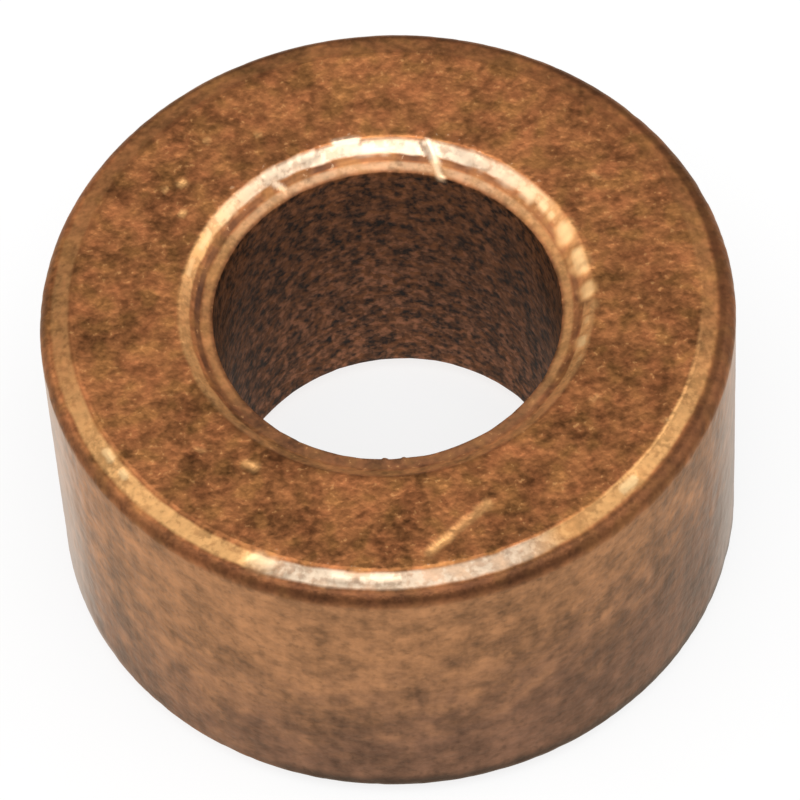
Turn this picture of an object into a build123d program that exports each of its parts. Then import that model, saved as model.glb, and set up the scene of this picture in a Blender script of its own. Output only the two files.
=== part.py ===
"""Sintered bronze sleeve bushing.

A plain cylindrical bushing, pressed from bronze powder, sintered, sized and soaked in oil. It is one piece:
a wall turned about +Z, standing on its lower face with the origin at the centre of that face.

Both ends are alike, because the upper and the lower punch leave the same form. Each punch rounds the end face
over into a shallow mouth: a slope falls to a crisp corner, and from that corner a narrow lip leans in to the
bore. Outside, a wide shallow bevel falls from the end face and turns over in a round into the outside wall, which
leads the bushing into its housing.
"""

import os

from build123d import *

# Fitted sizes, in millimetres.
bore_diameter = 6.35
outside_diameter = 12.70
length = 6.747

# Mouth of the bore, at each end.
slope_depth = 0.26  # from the end face down to the foot of the slope
slope_width = 0.325  # how far the slope leans out on its way up to the end face
lip_width = 0.27  # across the lip, from the bore to the foot of the slope
lip_fall = 0.06  # how far the lip drops on its way in to the bore
mouth_rim_round = 0.15  # where the slope turns over into the end face
lip_corner_round = 0.0  # the punch leaves the corner between the slope and the lip sharp
bore_edge_round = 0.04  # where the lip turns down into the bore

# Outside corner, at each end.
bevel_width = 0.61  # across the shallow bevel, measured in from the outside wall
bevel_fall = 0.17  # how far the bevel would drop on its way out to the outside wall
bevel_edge_round = 0.30  # where the end face turns over into the bevel
lead_round = 0.30  # where the bevel turns over into the outside wall

bore_radius = bore_diameter / 2
outside_radius = outside_diameter / 2
lip_radius = bore_radius + lip_width
mouth_radius = lip_radius + slope_width
lip_height = length - slope_depth
bore_edge_height = lip_height - lip_fall
bevel_radius = outside_radius - bevel_width
bevel_height = length - bevel_fall
mid_height = length / 2

with BuildPart() as sleeve:
    # The upper half of the wall's section, from the bore out to the outside wall.
    with BuildSketch(Plane.XZ) as half_section:
        with BuildLine() as outline:
            FilletPolyline(
                (bore_radius, mid_height),
                (bore_radius, bore_edge_height),
                (lip_radius, lip_height),
                (mouth_radius, length),
                (bevel_radius, length),
                (outside_radius, bevel_height),
                (outside_radius, mid_height),
                radius=(bore_edge_round, lip_corner_round, mouth_rim_round, bevel_edge_round, lead_round),
            )
            Line((outside_radius, mid_height), (bore_radius, mid_height))
        make_face()
    revolve(axis=Axis.Z)
    # The lower punch leaves the same form as the upper one.
    mirror(about=Plane.XY.offset(mid_height))

sleeve.part.label = "sleeve"

os.makedirs("parts", exist_ok=True)
export_step(sleeve.part, "parts/sleeve.step")
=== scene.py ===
import math
from types import SimpleNamespace

import bmesh
import bpy
from mathutils import Matrix, Vector, kdtree, noise


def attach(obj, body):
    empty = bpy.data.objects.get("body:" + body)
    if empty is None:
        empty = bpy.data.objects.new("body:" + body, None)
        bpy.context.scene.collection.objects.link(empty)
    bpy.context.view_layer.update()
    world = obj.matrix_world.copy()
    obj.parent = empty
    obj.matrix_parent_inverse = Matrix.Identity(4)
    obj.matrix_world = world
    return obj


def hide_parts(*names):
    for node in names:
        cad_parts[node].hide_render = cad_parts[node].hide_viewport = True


# A sintered bronze sleeve bushing: pressed from bronze powder, sintered, sized in a die and soaked in oil.
# The turned sleeve carries the grain, the press marks and the handling dents that the plain solid lacks.

MM = 0.001

# The sleeve's sizes in millimetres. A reach is how far a corner's round runs along each side of it.
BORE_RADIUS = 3.175
OUTSIDE_RADIUS = 6.35
LENGTH = 6.747
SLOPE_DEPTH = 0.26
SLOPE_WIDTH = 0.325
LIP_WIDTH = 0.27
LIP_FALL = 0.06
LIP_RADIUS = BORE_RADIUS + LIP_WIDTH
MOUTH_RADIUS = LIP_RADIUS + SLOPE_WIDTH
LIP_CORNER_REACH = 0.02
MOUTH_RIM_REACH = 0.052
BORE_EDGE_REACH = 0.032
BEVEL_RADIUS = OUTSIDE_RADIUS - 0.61
BEVEL_FALL = 0.17
BEVEL_EDGE_REACH = 0.041
LEAD_REACH = 0.228

# How finely the surface is divided: steps in one turn, and the rings' pitch on each part of the section.
TURN_STEPS = 580
WALL_PITCH = 0.17
BORE_PITCH = 0.14
UPPER_END_PITCH = 0.065
LOWER_END_PITCH = 0.25

# Marks on the upper end, each a stroke from one point to another as radius and azimuth in degrees, then its
# half width, how far it stands proud (sunk when negative) and how brightly its metal is rubbed, which also
# paints a glint on the beads and the steps in the rim.
MARKS = [
    # the scratch across the face, brightest at its low end
    ((5.45, -85.0), (4.76, -70.8), 0.150, -0.030, 0.55),
    ((5.42, -84.4), (5.20, -80.4), 0.120, -0.016, 0.95),
    ((4.92, -73.6), (4.74, -70.4), 0.070, 0.020, 0.70),
    # dents and rubbed spots on the face
    ((4.26, -129.0), (4.24, -126.6), 0.140, -0.030, 0.60),
    ((4.22, -128.2), (4.22, -127.6), 0.060, 0.020, 0.90),
    ((4.69, 140.1), (4.70, 140.9), 0.110, -0.030, 1.00),
    ((4.30, 147.3), (4.31, 148.2), 0.100, -0.025, 0.90),
    ((4.86, 143.6), (4.87, 144.2), 0.070, -0.020, 0.70),
    ((5.02, 128.0), (5.03, 129.0), 0.060, -0.018, 0.60),
    ((4.52, 118.0), (4.55, 119.0), 0.070, -0.018, 0.55),
    ((4.62, -141.0), (4.55, -139.0), 0.070, -0.020, 0.40),
    ((4.75, 32.0), (4.72, 33.5), 0.070, -0.020, 0.50),
    ((4.32, -34.0), (4.36, -32.5), 0.080, -0.016, 0.40),
    # the nick through the mouth, and the steps in its rim
    ((3.70, 75.0), (3.20, 68.8), 0.120, 0.036, 1.00),
    ((3.66, 77.6), (3.52, 75.6), 0.060, -0.030, 0.00),
    ((3.76, 101.5), (3.72, 95.5), 0.130, 0.012, 1.00),
    ((3.62, 101.0), (3.60, 86.0), 0.100, 0.008, 1.00),
    ((3.56, 123.0), (3.38, 120.8), 0.090, 0.014, 0.90),
    ((3.68, 113.0), (3.68, 108.5), 0.120, 0.010, 1.00),
    ((3.68, 124.0), (3.68, 121.0), 0.140, 0.012, 1.00),
    ((3.67, 134.0), (3.67, 129.0), 0.140, 0.012, 1.00),
    ((3.67, 144.0), (3.67, 138.5), 0.140, 0.012, 1.00),
    ((3.68, 155.0), (3.68, 149.0), 0.120, 0.012, 0.95),
    ((3.71, 165.0), (3.71, 160.0), 0.110, 0.010, 0.75),
    # beads of metal along the right of the mouth
    ((3.64, 62.0), (3.63, 56.5), 0.150, 0.010, 0.90),
    ((3.62, 50.5), (3.62, 46.8), 0.180, 0.014, 1.00),
    ((3.61, 41.6), (3.61, 39.4), 0.180, 0.018, 1.00),
    ((3.62, 34.9), (3.62, 33.6), 0.150, 0.018, 1.00),
    ((3.62, 30.6), (3.62, 29.8), 0.120, 0.014, 0.90),
    ((3.63, 24.1), (3.62, 21.4), 0.260, 0.024, 1.00),
    ((3.64, 14.3), (3.64, 9.2), 0.240, 0.022, 1.00),
    ((3.68, 8.6), (3.69, 7.8), 0.140, 0.016, 0.90),
    ((3.66, 1.7), (3.67, -0.1), 0.230, 0.020, 1.00),
    ((3.74, -4.0), (3.74, -5.2), 0.140, 0.012, 0.45),
    ((3.65, -8.6), (3.66, -9.8), 0.130, 0.012, 0.75),
    ((3.63, -15.8), (3.65, -17.5), 0.180, 0.016, 1.00),
    ((3.70, -22.0), (3.70, -23.5), 0.120, 0.010, 0.60),
    # burrs on the front of the bore's edge
    ((3.23, -94.1), (3.23, -93.4), 0.070, 0.060, 0.00),
    ((3.24, -88.2), (3.24, -87.6), 0.070, 0.055, 0.00),
    # knocks along the outside bevel
    ((5.93, -116.6), (5.95, -113.4), 0.230, -0.020, 1.00),
    ((5.92, -102.0), (5.92, -99.0), 0.160, -0.014, 0.70),
    ((5.93, -97.0), (5.93, -91.0), 0.160, -0.010, 0.80),
    ((5.91, -151.4), (5.92, -149.8), 0.180, -0.018, 1.00),
    ((5.92, -146.2), (5.93, -145.2), 0.170, -0.018, 1.00),
    ((5.90, -47.2), (5.91, -44.8), 0.190, -0.016, 1.00),
    ((5.67, -31.4), (5.70, -31.0), 0.070, -0.018, 0.80),
]

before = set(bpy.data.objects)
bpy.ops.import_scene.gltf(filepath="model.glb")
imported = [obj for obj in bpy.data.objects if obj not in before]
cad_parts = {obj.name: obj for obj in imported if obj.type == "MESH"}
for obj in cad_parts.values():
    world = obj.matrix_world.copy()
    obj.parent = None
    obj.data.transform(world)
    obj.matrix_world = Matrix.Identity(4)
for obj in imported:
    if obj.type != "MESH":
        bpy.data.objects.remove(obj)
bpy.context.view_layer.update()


# ---------------------------------------------------------------- the sleeve's form

def end_section(top):
    """One end's corners from the bore outwards: radius, height, reach of the round and its steps."""
    height = LENGTH if top else 0.0
    down = -1.0 if top else 1.0
    return [
        (BORE_RADIUS, height + down * (SLOPE_DEPTH + LIP_FALL), BORE_EDGE_REACH, 2),
        (LIP_RADIUS, height + down * SLOPE_DEPTH, LIP_CORNER_REACH, 1),
        (MOUTH_RADIUS, height, MOUTH_RIM_REACH, 3 if top else 2),
        (BEVEL_RADIUS, height, BEVEL_EDGE_REACH, 2),
        (OUTSIDE_RADIUS, height + down * BEVEL_FALL, LEAD_REACH, 9 if top else 5),
    ]


def section_loop(bm):
    """The closed section of the wall as a wire in the XZ plane, with its corners rounded."""
    corners = end_section(True) + end_section(False)[::-1]
    verts = [bm.verts.new((radius, 0.0, height)) for radius, height, _, _ in corners]
    for here, there in zip(verts, verts[1:] + verts[:1]):
        bm.edges.new((here, there))
    for vert, (_, _, reach, steps) in zip(verts, corners):
        bmesh.ops.bevel(
            bm, geom=[vert], offset=reach, offset_type="OFFSET", segments=steps, profile=0.5,
            affect="VERTICES", material=-1,
        )


def divide_long_edges(bm):
    """Rings across the faces and down the walls, closest on the upper face."""
    for edge in list(bm.edges):
        low, high = sorted(vert.co.z for vert in edge.verts)
        if low < LENGTH / 2 < high:
            pitch = WALL_PITCH if edge.verts[0].co.x > MOUTH_RADIUS else BORE_PITCH
        elif low > LENGTH / 2:
            pitch = UPPER_END_PITCH
        else:
            pitch = LOWER_END_PITCH
        cuts = int(edge.calc_length() / pitch)
        if cuts:
            bmesh.ops.subdivide_edges(bm, edges=[edge], cuts=cuts)


def turned_sleeve():
    """The section turned once round the bore's axis."""
    bm = bmesh.new()
    section_loop(bm)
    divide_long_edges(bm)
    bmesh.ops.spin(
        bm, geom=bm.verts[:] + bm.edges[:], cent=(0, 0, 0), axis=(0, 0, 1), dvec=(0, 0, 0),
        angle=2 * math.pi, steps=TURN_STEPS, use_merge=True, use_duplicate=False,
    )
    bmesh.ops.recalc_face_normals(bm, faces=bm.faces[:])
    return bm


def eased(value, low, high):
    """0 below low, 1 above high, and a soft step between."""
    share = min(max((value - low) / (high - low), 0.0), 1.0)
    return share * share * (3 - 2 * share)


def press_relief(bm):
    """Sinks the surface a little into the metal: faint waves, flat-topped grains, and a few open pores."""
    bm.normal_update()
    moved = []
    for vert in bm.verts:
        place = vert.co
        radius = math.hypot(place.x, place.y)
        depth = min(place.z, LENGTH - place.z)
        mouth = (1 - eased(radius, 3.70, 3.85)) * (1 - eased(depth, 0.30, 0.40))
        rim = eased(radius, 5.72, 5.82) * (1 - eased(depth, 0.15, 0.30))
        wave = noise.noise(place * 0.9 + Vector((7, 3, 1)))
        lump = noise.noise(place * 2.6 + Vector((2, 8, 5)))
        grain = noise.noise(place * 5.2 + Vector((4, 1, 9)))
        pore = noise.noise(place * 4.4 + Vector((9, 6, 2)))
        sink = 0.004 * (1 + wave) + 0.007 * max(lump, 0) + 0.012 * max(grain, 0)
        sink += 0.03 * max(pore - 0.45, 0)
        sink += mouth * (0.010 * max(lump, 0) - 0.005 * max(grain, 0))
        sink -= rim * (0.004 * max(lump, 0) + 0.009 * max(grain, 0))
        moved.append(place - vert.normal * sink)
    for vert, place in zip(bm.verts, moved):
        vert.co = place


def end_point(radius, azimuth):
    """The point of an end face at a radius and an azimuth in degrees."""
    angle = math.radians(azimuth)
    return Vector((radius * math.cos(angle), radius * math.sin(angle), 0.0))


def strike_marks(bm):
    """Scratches, dents, beads and burrs on the upper end; a layer keeps how rubbed each point is."""
    rubbed = bm.verts.layers.float.new("rubbed")
    bm.verts.ensure_lookup_table()
    upper = [vert for vert in bm.verts if vert.co.z > LENGTH - 0.45]
    finder = kdtree.KDTree(len(upper))
    for index, vert in enumerate(upper):
        finder.insert((vert.co.x, vert.co.y, 0.0), index)
    finder.balance()
    bm.normal_update()
    for start, end, half_width, rise, rub in MARKS:
        start, end = end_point(*start), end_point(*end)
        middle, along = (start + end) / 2, end - start
        for place, index, _ in finder.find_range(middle, along.length / 2 + half_width * 1.4):
            vert = upper[index]
            share = min(max((place - start).dot(along) / along.length_squared, 0.0), 1.0)
            gap = (place - start - along * share).length
            ragged = 1 + 0.35 * noise.noise(vert.co * 7 + Vector((1, 5, 3)))
            vert.co += vert.normal * rise * (1 - eased(gap, 0.0, half_width * ragged))
            rub_here = rub * (1 - eased(gap, half_width * 0.20 * ragged, half_width * ragged))
            vert[rubbed] = max(vert[rubbed], rub_here)
    for vert in upper:
        vert.co.z = min(vert.co.z, LENGTH)


def finished_piece(name, bm):
    """Scales from millimetres, and gives the mesh its object and body."""
    bmesh.ops.scale(bm, vec=(MM, MM, MM), verts=bm.verts[:])
    mesh = bpy.data.meshes.new(name)
    bm.to_mesh(mesh)
    bm.free()
    mesh.shade_smooth()
    piece = bpy.data.objects.new(name, mesh)
    bpy.context.scene.collection.objects.link(piece)
    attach(piece, "root")
    return piece


# ---------------------------------------------------------------- shader wiring

class Tap:
    """One socket of a material's node tree; arithmetic on it adds Math nodes."""

    def __init__(self, tree, socket):
        self.tree = tree
        self.socket = socket

    def math(self, operation, *values):
        return add_node(self.tree, "ShaderNodeMath", {"operation": operation}, dict(enumerate(values)))[0]

    def __add__(self, other):
        return self.math("ADD", self, other)

    def __radd__(self, other):
        return self.math("ADD", other, self)

    def __sub__(self, other):
        return self.math("SUBTRACT", self, other)

    def __rsub__(self, other):
        return self.math("SUBTRACT", other, self)

    def __mul__(self, other):
        return self.math("MULTIPLY", self, other)

    def __rmul__(self, other):
        return self.math("MULTIPLY", other, self)

    def __truediv__(self, other):
        return self.math("DIVIDE", self, other)

    def __pow__(self, other):
        return self.math("POWER", self, other)

    def __abs__(self):
        return self.math("ABSOLUTE", self)

    def most(self, other):
        return self.math("MAXIMUM", self, other)

    def step(self, low, high):
        """0 at low, 1 at high, with a soft step between."""
        return add_node(
            self.tree, "ShaderNodeMapRange", {"interpolation_type": "SMOOTHSTEP"},
            {"Value": self, "From Min": low, "From Max": high},
        )[0]

    def band(self, rise_from, rise_to, fall_from, fall_to):
        """0, then 1 between the two middle values, then 0 again, with soft steps."""
        return self.step(rise_from, rise_to) * (1.0 - self.step(fall_from, fall_to))


def add_node(tree, kind, settings, values):
    """Adds a node, sets it up, fills or links its inputs, and returns taps on its enabled outputs."""
    node = tree.nodes.new(kind)
    for name, setting in settings.items():
        setattr(node, name, setting)
    for key, value in values.items():
        socket = node.inputs[key]
        if isinstance(value, Tap):
            tree.links.new(value.socket, socket)
        else:
            socket.default_value = value
    return [Tap(tree, output) for output in node.outputs if output.enabled]


def tinted(tree, share, under, over):
    """Mixes two colours by a share from 0 to 1."""
    return add_node(tree, "ShaderNodeMix", {"data_type": "RGBA"}, {0: share, 6: under, 7: over})[0]


def shaded(tree, colour, level):
    """Dims or lifts a colour, or stretches a place, by a level."""
    colour = colour if isinstance(colour, Tap) else colour[:3]
    values = {"Vector": colour, "Scale": level}
    return add_node(tree, "ShaderNodeVectorMath", {"operation": "SCALE"}, values)[0]


def speckle(tree, place, scale, detail=2.0, rough=0.5):
    """A soft random pattern, finer at a larger scale."""
    values = {"Vector": place, "Scale": scale, "Detail": detail, "Roughness": rough}
    return add_node(tree, "ShaderNodeTexNoise", {}, values)[0]


def powder_grains(tree, place, scale):
    """The pressed powder grains: a random level for each, and how near a place is to its grain's middle."""
    cells = add_node(tree, "ShaderNodeTexVoronoi", {"feature": "F1"}, {"Vector": place, "Scale": scale})
    level = add_node(tree, "ShaderNodeSeparateXYZ", {}, {"Vector": cells[1]})[0]
    return level, 1.0 - cells[0]


# ---------------------------------------------------------------- the bronze

FACE = (0.405, 0.158, 0.057, 1)
FACE_RED = (0.395, 0.145, 0.054, 1)
FACE_GOLD = (0.395, 0.167, 0.055, 1)
RUBBED = (0.97, 0.52, 0.20, 1)
# painted highlight: the pale tone of light caught behind the mouth and on the front rim
PALE_HIGHLIGHT = (0.92, 0.71, 0.51, 1)
# struck metal, also the colour of a painted glint on the beads and marks
STRUCK_GLINT = (0.98, 0.70, 0.36, 1)
# painted shade: the dark brown under the bevels and in the mouth
DARK_SHADE = (0.090, 0.036, 0.019, 1)
# painted contact shadow at the foot
FOOT_SHADOW = (0.022, 0.015, 0.012, 1)
WALL = (0.385, 0.180, 0.078, 1)
# painted shade: the darker brown low on the wall
WALL_LOW_SHADE = (0.185, 0.090, 0.052, 1)
# painted sheen: the pale tone where the wall is seen aslant
WALL_SHEEN = (0.90, 0.85, 0.80, 1)
BORE = (0.135, 0.049, 0.016, 1)
BORE_GRAIN = (0.235, 0.098, 0.046, 1)
WARM_GLEAM = (0.90, 0.80, 0.70, 1)

# Radii in millimetres between which each band of an end fades in and out.
LIP_BAND = (3.19, 3.29, 3.35, 3.42)
GROOVE_BAND = (3.395, 3.44, 3.49, 3.54)
SLOPE_BAND = (3.50, 3.55, 3.68, 3.78)
BEVEL_BAND = (5.76, 5.83, 6.06, 6.14)
PRESSED_BEVEL = (5.70, 5.78, 6.08, 6.20)

# The drag marks of the sizing die are stretched along the axis.
DRAG_STRETCH = (1.0, 1.0, 0.14)


def sleeve_fields(tree):
    """Where a point lies on the sleeve, in millimetres, and the patterns of the powder there.

    side runs from -1 at the left to 1 at the right and across from -1 at the front to 1 behind. depth is
    measured from the nearer end.
    """
    at = SimpleNamespace()
    place = shaded(tree, add_node(tree, "ShaderNodeTexCoord", {}, {})[3], 1.0 / MM)
    x, y, at.height = add_node(tree, "ShaderNodeSeparateXYZ", {}, {"Vector": place})
    at.radius = (x * x + y * y) ** 0.5
    at.side, at.across = x / at.radius, y / at.radius
    at.depth = LENGTH / 2 - abs(at.height - LENGTH / 2)

    at.fine = speckle(tree, place, 9.0, 2.0)
    at.grain = speckle(tree, place, 4.2, 2.0)
    at.level, at.middle = powder_grains(tree, place, 6.5)
    at.blotch = speckle(tree, place, 0.95, 4.0, 0.65)
    drawn = add_node(tree, "ShaderNodeVectorMath", {"operation": "MULTIPLY"}, {0: place, 1: DRAG_STRETCH})[0]
    at.streak = speckle(tree, drawn, 3.0, 3.0, 0.65)
    at.wander = speckle(tree, place, 2.2, 1.0) - 0.5

    at.near_end = 1.0 - at.depth.step(0.30, 0.37)
    at.front = at.across.step(-0.35, -0.80)
    at.behind = at.across.step(0.10, 0.60)
    at.wall = at.radius.step(6.24, 6.31) * at.depth.step(0.24, 0.46)
    at.bore = (1.0 - at.radius.step(3.22, 3.27)) * at.depth.step(0.30, 0.36)
    at.mouth_side = 1.0 - at.radius.step(3.9, 4.0)
    at.bevel_side = at.radius.step(5.55, 5.65)
    at.marks = add_node(tree, "ShaderNodeAttribute", {"attribute_name": "rubbed"}, {})[2]
    return at


def rubbed_bands_and_highlights(at):
    """How brightly the tools rubbed the slope and the lip of the mouth, and the outside bevel, with painted
    highlight that changes round each band.
    """
    mouth = at.radius + at.side * 0.015 - at.side * at.side * 0.060 + at.wander * 0.07
    bead_run = at.side.step(0.80, 0.92) * at.across.step(-0.14, 0.02)
    low_sides = at.across.step(0.0, -0.25) * 0.22
    slope = mouth.band(*SLOPE_BAND) * at.near_end * (1.0 - bead_run * 0.60)
    # painted highlight: the slope's band grows behind the mouth and fades at its front
    slope = slope * (0.46 - at.side * 0.02 + at.behind * 0.52 + low_sides - at.front * 0.52)

    lip = (at.radius + at.wander * 0.03).band(*LIP_BAND) * at.near_end
    # painted highlight: the lip's band changes round the mouth and fades at its front
    lip = lip * (0.34 + at.side * 0.10 + at.behind * (0.16 - at.side * 0.12) - at.front * 0.32)

    outer = at.radius + at.side * 0.060 + at.side * at.side * 0.040 + at.wander * 0.06
    # painted highlight: the bevel's band grows towards the front and fades behind
    toward_front = at.across.step(-0.05, -0.62) * 0.71
    bevel = outer.band(*BEVEL_BAND) * (0.27 - at.side * 0.08 + toward_front - at.behind * 0.20)
    return slope.most(lip).most(bevel)


def rubbed_share(at, bands):
    """All that is rubbed bright or painted with highlight: the bands, a little worn through, the marks, and
    the tops of some grains.
    """
    worn = 0.66 + (at.wander + at.fine).step(0.34, 0.60) * 0.34
    grain_tops = at.fine.step(0.63, 0.74) * (1.0 - at.radius.step(5.9, 6.0)) * (1.0 - at.bore) * 0.30
    return (bands * worn).most(at.marks).most(grain_tops)


def rubbed_metal_and_highlights(tree, at):
    """Rubbed metal, golden: a painted glint where struck, a painted pale highlight behind the mouth and on
    the front rim, painted shade on the bevel.
    """
    struck = at.marks.step(0.40, 1.0)
    # painted highlight: pale behind the mouth and on the front of the rim
    pale = at.mouth_side * at.across.step(0.40, 0.95) * (0.55 + at.radius.step(3.44, 3.50) * 0.45)
    pale = pale + at.bevel_side * at.across.step(-0.87, -0.95)
    # painted shade: the bevel is dimmed, most at its front, less where struck
    painted_bevel_shade = at.bevel_side * (0.10 + at.across.step(-0.60, -0.95) * 0.34) * (1.0 - struck * 0.7)
    # painted glint: struck marks turn lighter, most behind and in front
    lighter = struck * (1.0 - pale) * (at.mouth_side + at.bevel_side) * (0.35 + abs(at.across) * 0.45)
    bright = tinted(tree, pale, tinted(tree, lighter, RUBBED, STRUCK_GLINT), PALE_HIGHLIGHT)
    return shaded(tree, bright, 0.78 + at.fine * 0.26 + at.grain * 0.14 - painted_bevel_shade)


def face_colour(tree, at):
    """The end faces: soft brown mottling under the speckle of the powder grains, with painted light brighter
    behind and to the right.
    """
    face = tinted(tree, at.wander.step(0.00, 0.18), FACE, FACE_RED)
    face = tinted(tree, at.wander.step(0.00, -0.18), face, FACE_GOLD)
    speckled = at.blotch.step(0.34, 0.66) * 0.62 + at.grain.step(0.32, 0.68) * 0.40
    speckled = speckled + at.fine.step(0.32, 0.68) * 0.26
    # painted light: brighter behind and to the right
    return shaded(tree, face, 0.33 + at.across * 0.11 + at.side * 0.05 + speckled + at.level * 0.08)


def wall_colour(tree, at):
    """The sized wall: drag streaks, dull specks and pits, painted shade low down, to the right and towards
    both sides, and a painted pale sheen seen aslant.
    """
    # painted shade: darker low down, reaching higher at the right
    wall = tinted(tree, (at.height - at.side * 1.4 + at.wander * 3.0).step(5.4, 0.8), WALL, WALL_LOW_SHADE)
    speckled = at.grain.step(0.32, 0.68) * 0.24 + at.fine.step(0.32, 0.68) * 0.18
    speckled = speckled + at.streak.step(0.30, 0.70) * 0.18
    mottled = at.blotch.step(0.34, 0.66) * 0.44 + at.wander * 0.60
    pits = (at.fine * 0.6 + at.grain * 0.4).step(0.44, 0.34) * (at.blotch + at.wander * 0.6).step(0.40, 0.62)
    # painted shade: darker to the right and towards both sides
    lit = 0.44 - at.side * 0.06 - at.side * at.side * 0.15 + speckled + mottled - pits * 0.16
    # painted sheen: paler where the wall is seen aslant
    aslant = add_node(tree, "ShaderNodeLayerWeight", {}, {"Blend": 0.5})[1].step(0.77, 0.92)
    return tinted(tree, aslant * (0.34 - at.side * 0.07), shaded(tree, wall, lit), WALL_SHEEN)


def bore_colour(tree, at):
    """The bore: dull brown powder with lighter grains, with painted light lifting them low down where light
    reaches in, and painted shade at both sides.
    """
    share = (at.fine * 0.4 + at.grain * 0.2 + at.level * 0.4).step(0.36, 0.72)
    # painted light: more of the lighter grains low down
    share = share * (0.35 + at.height.step(6.0, 1.5) * 0.65)
    speckled = at.fine.step(0.36, 0.64) * 0.95 + at.grain.step(0.36, 0.64) * 1.05
    speckled = speckled + at.blotch.step(0.30, 0.70) * 0.22
    # painted shade: darker at both sides
    return shaded(tree, tinted(tree, share, BORE, BORE_GRAIN), speckled * (1.0 - at.side * at.side * 0.45))


def painted_lead_shade(at):
    """A dark line of painted shade where each bevel rolls into the wall, stronger at the front and the right.
    """
    rolled = (at.radius + at.side * abs(at.side) * 0.10).step(6.07, 6.18)
    rolled = rolled * (at.depth + at.wander * 0.06).step(0.48, 0.22)
    return rolled * (0.58 + at.across.step(-0.75, -0.97) * 0.11 + at.side * 0.12)


def painted_foot_shadow(at):
    """A dark line of painted contact shadow where the sleeve stands, missing at the left."""
    foot = (at.height + at.wander * 0.16).step(0.70, 0.40) * at.radius.step(6.1, 6.2)
    return foot * at.side.step(-0.60, -0.25) * 0.80


def painted_mouth_shade(at):
    """Painted shade in the groove between slope and lip, on the front of the lip and along the bore's edge.
    """
    # painted shade: deepest at the left and behind, none in front
    deepest = at.across.band(-0.26, -0.02, 0.24, 0.48) * (0.5 - at.side * 0.5) * 0.30
    deepest = deepest + at.across.step(0.72, 0.92) * 0.20
    groove = at.radius.band(*GROOVE_BAND) * at.near_end * (1.0 - at.front)
    groove = groove * (0.32 - at.side * 0.08 + deepest + (at.wander + at.grain - 0.5) * 1.2)
    shaded_lip_front = (1.0 - at.radius.step(3.42, 3.52)) * at.near_end * at.front * 0.38
    bore_edge = (1.0 - at.radius.step(3.20, 3.28)) * at.near_end * (1.0 - at.front)
    return (groove + shaded_lip_front).most(bore_edge * (0.42 - at.side * 0.12))


def sleeve_colour(tree, at, bands):
    """The colours of the faces, the wall and the bore, then painted shade under the bevels, at the foot and
    in the mouth, then the rubbed metal and its painted highlights over them.
    """
    colour = tinted(tree, at.wall, face_colour(tree, at), wall_colour(tree, at))
    colour = tinted(tree, painted_lead_shade(at), colour, DARK_SHADE)
    colour = tinted(tree, painted_foot_shadow(at), colour, FOOT_SHADOW)
    colour = tinted(tree, at.bore, colour, bore_colour(tree, at))
    colour = tinted(tree, painted_mouth_shade(at), colour, DARK_SHADE)
    return tinted(tree, rubbed_share(at, bands), colour, rubbed_metal_and_highlights(tree, at))


def grain_relief(at):
    """The height of the finest grain in metres, flatter on the wall and on the bands the tools pressed."""
    pressed = (1.0 - at.radius.step(3.72, 3.80)) * at.near_end + at.radius.band(*PRESSED_BEVEL)
    relief = at.middle * 0.009 + at.fine * 0.014 + at.grain * 0.010
    relief = relief * (1.0 - at.wall * 0.55) * (1.0 - pressed * 0.8)
    return (relief + at.wall * at.streak * 0.010) * MM


def sleeve_material():
    """Sintered bronze: matt and granular where it was only pressed, bright where the tools rubbed it, with
    painted highlight and shade in its colour.
    """
    material = bpy.data.materials.new("sintered_bronze")
    material.use_nodes = True
    tree = material.node_tree
    at = sleeve_fields(tree)
    bands = rubbed_bands_and_highlights(at)
    dull_mouth = (1.0 - at.radius.step(3.74, 3.80)) * at.near_end * (0.20 + at.front * 0.35)
    bump = {"Height": grain_relief(at), "Distance": 1.0, "Strength": 1.0}
    fed = {
        "Base Color": sleeve_colour(tree, at, bands),
        "Metallic": 1.0 - at.bore * (0.50 - at.side * at.side * 0.36) - dull_mouth,
        "Roughness": 0.38 + at.fine * 0.16 + at.bore * 0.24 - bands * 0.12 - at.wall * 0.10,
        "Normal": add_node(tree, "ShaderNodeBump", {}, bump)[0],
    }
    shader = tree.nodes["Principled BSDF"]
    shader.inputs["Specular Tint"].default_value = WARM_GLEAM
    shader.inputs["Coat Weight"].default_value = 0.05
    shader.inputs["Coat Roughness"].default_value = 0.25
    for name, tap in fed.items():
        tree.links.new(tap.socket, shader.inputs[name])
    return material


# ---------------------------------------------------------------- the studio

PAPER = (0.95, 0.95, 0.95, 1)
WHITE = (1.0, 1.0, 1.0, 1)
PAPER_LIFT = 0.80
FLOOR_HALF_WIDTH = 1.5

# Each lamp's name, place, width and brightness, in metres. All are aimed at the sleeve's middle.
LAMPS = [
    ("front_softbox", (0.0, -0.128, 0.293), 0.312, 2.35),
    ("top_softbox", (0.0, 0.020, 0.340), 0.300, 0.55),
    ("left_softbox", (-0.262, 0.010, 0.172), 0.34, 1.15),
    ("right_softbox", (0.262, 0.010, 0.172), 0.34, 1.15),
]
LAMP_AIM = (0, 0, 0.0034)
AIR_STRENGTH = 0.43

# The camera's angles in degrees, its place in millimetres, and its lens.
CAMERA_ELEVATION = 55.780
CAMERA_ROLL = -3.700
CAMERA_DISTANCE = 119.631
CAMERA_ASIDE = (0.1203, 0.1286)
CAMERA_LENS = 289.36
CAMERA_SENSOR = 36.0


def studio_floor():
    """A wide plain floor of white paper."""
    bm = bmesh.new()
    bmesh.ops.create_grid(bm, x_segments=1, y_segments=1, size=FLOOR_HALF_WIDTH)
    mesh = bpy.data.meshes.new("studio_floor")
    bm.to_mesh(mesh)
    bm.free()
    floor = bpy.data.objects.new("studio_floor", mesh)
    bpy.context.scene.collection.objects.link(floor)
    mesh.materials.append(pale_paper())


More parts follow.
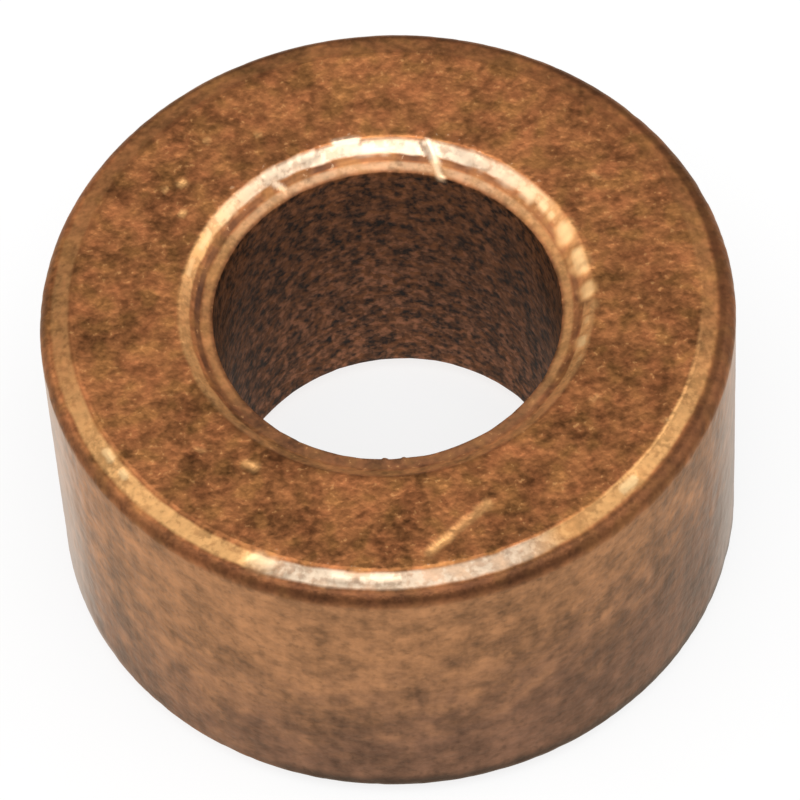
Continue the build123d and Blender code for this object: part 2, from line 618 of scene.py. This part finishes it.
def pale_paper():
    """White paper, lifted towards plain white where it is looked at, with the sleeve's shadow kept."""
    material = bpy.data.materials.new("pale_paper")
    material.use_nodes = True
    tree = material.node_tree
    paper = tree.nodes["Principled BSDF"]
    paper.inputs["Base Color"].default_value = PAPER
    paper.inputs["Roughness"].default_value = 0.9
    paper.inputs["Specular IOR Level"].default_value = 0.0
    white = add_node(tree, "ShaderNodeEmission", {}, {"Color": WHITE, "Strength": 1.0})[0]
    rays = {tap.socket.name: tap for tap in add_node(tree, "ShaderNodeLightPath", {}, {})}
    looked_at = rays["Is Camera Ray"].most(rays["Is Glossy Ray"]).most(rays["Is Transmission Ray"])
    mix = {0: looked_at * PAPER_LIFT, 1: Tap(tree, paper.outputs[0]), 2: white}
    mixed = add_node(tree, "ShaderNodeMixShader", {}, mix)[0]
    tree.links.new(mixed.socket, tree.nodes["Material Output"].inputs["Surface"])
    return material


def studio_lamp(name, place, width, radiance):
    """A round soft lamp of the given width, aimed at the sleeve, with an even brightness."""
    light = bpy.data.lights.new(name, "AREA")
    light.shape = "DISK"
    light.size = width
    light.energy = radiance * math.pi * math.pi * (width / 2) ** 2
    lamp = bpy.data.objects.new(name, light)
    bpy.context.scene.collection.objects.link(lamp)
    lamp.location = place
    lamp.rotation_euler = (Vector(place) - Vector(LAMP_AIM)).to_track_quat("Z", "Y").to_euler()


def studio_air():
    """Plain white light from all round."""
    world = bpy.data.worlds.new("studio_air")
    world.use_nodes = True
    background = world.node_tree.nodes["Background"]
    background.inputs["Color"].default_value = WHITE
    background.inputs["Strength"].default_value = AIR_STRENGTH
    bpy.context.scene.world = world


def camera():
    """Looks down at the sleeve from the front, a little rolled, through a long lens."""
    elevation = math.radians(CAMERA_ELEVATION)
    roll = math.radians(CAMERA_ROLL)
    aside = Vector(CAMERA_ASIDE) * MM
    data = bpy.data.cameras.new("camera")
    data.lens = CAMERA_LENS
    data.sensor_width = CAMERA_SENSOR
    data.clip_start = 0.005
    data.clip_end = 10.0
    eye = bpy.data.objects.new("camera", data)
    bpy.context.scene.collection.objects.link(eye)
    turn = Matrix.Rotation(math.pi / 2 - elevation, 4, "X") @ Matrix.Rotation(roll, 4, "Z")
    middle = Matrix.Translation((0, 0, LENGTH / 2 * MM))
    eye.matrix_world = middle @ turn @ Matrix.Translation((aside.x, aside.y, CAMERA_DISTANCE * MM))
    bpy.context.scene.camera = eye


sleeve_mesh = turned_sleeve()
press_relief(sleeve_mesh)
strike_marks(sleeve_mesh)
sleeve = finished_piece("bronze_sleeve", sleeve_mesh)
sleeve.data.materials.append(sleeve_material())
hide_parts("sleeve")

studio_floor()
for lamp in LAMPS:
    studio_lamp(*lamp)
studio_air()
camera()

bpy.context.scene.view_settings.view_transform = "Standard"
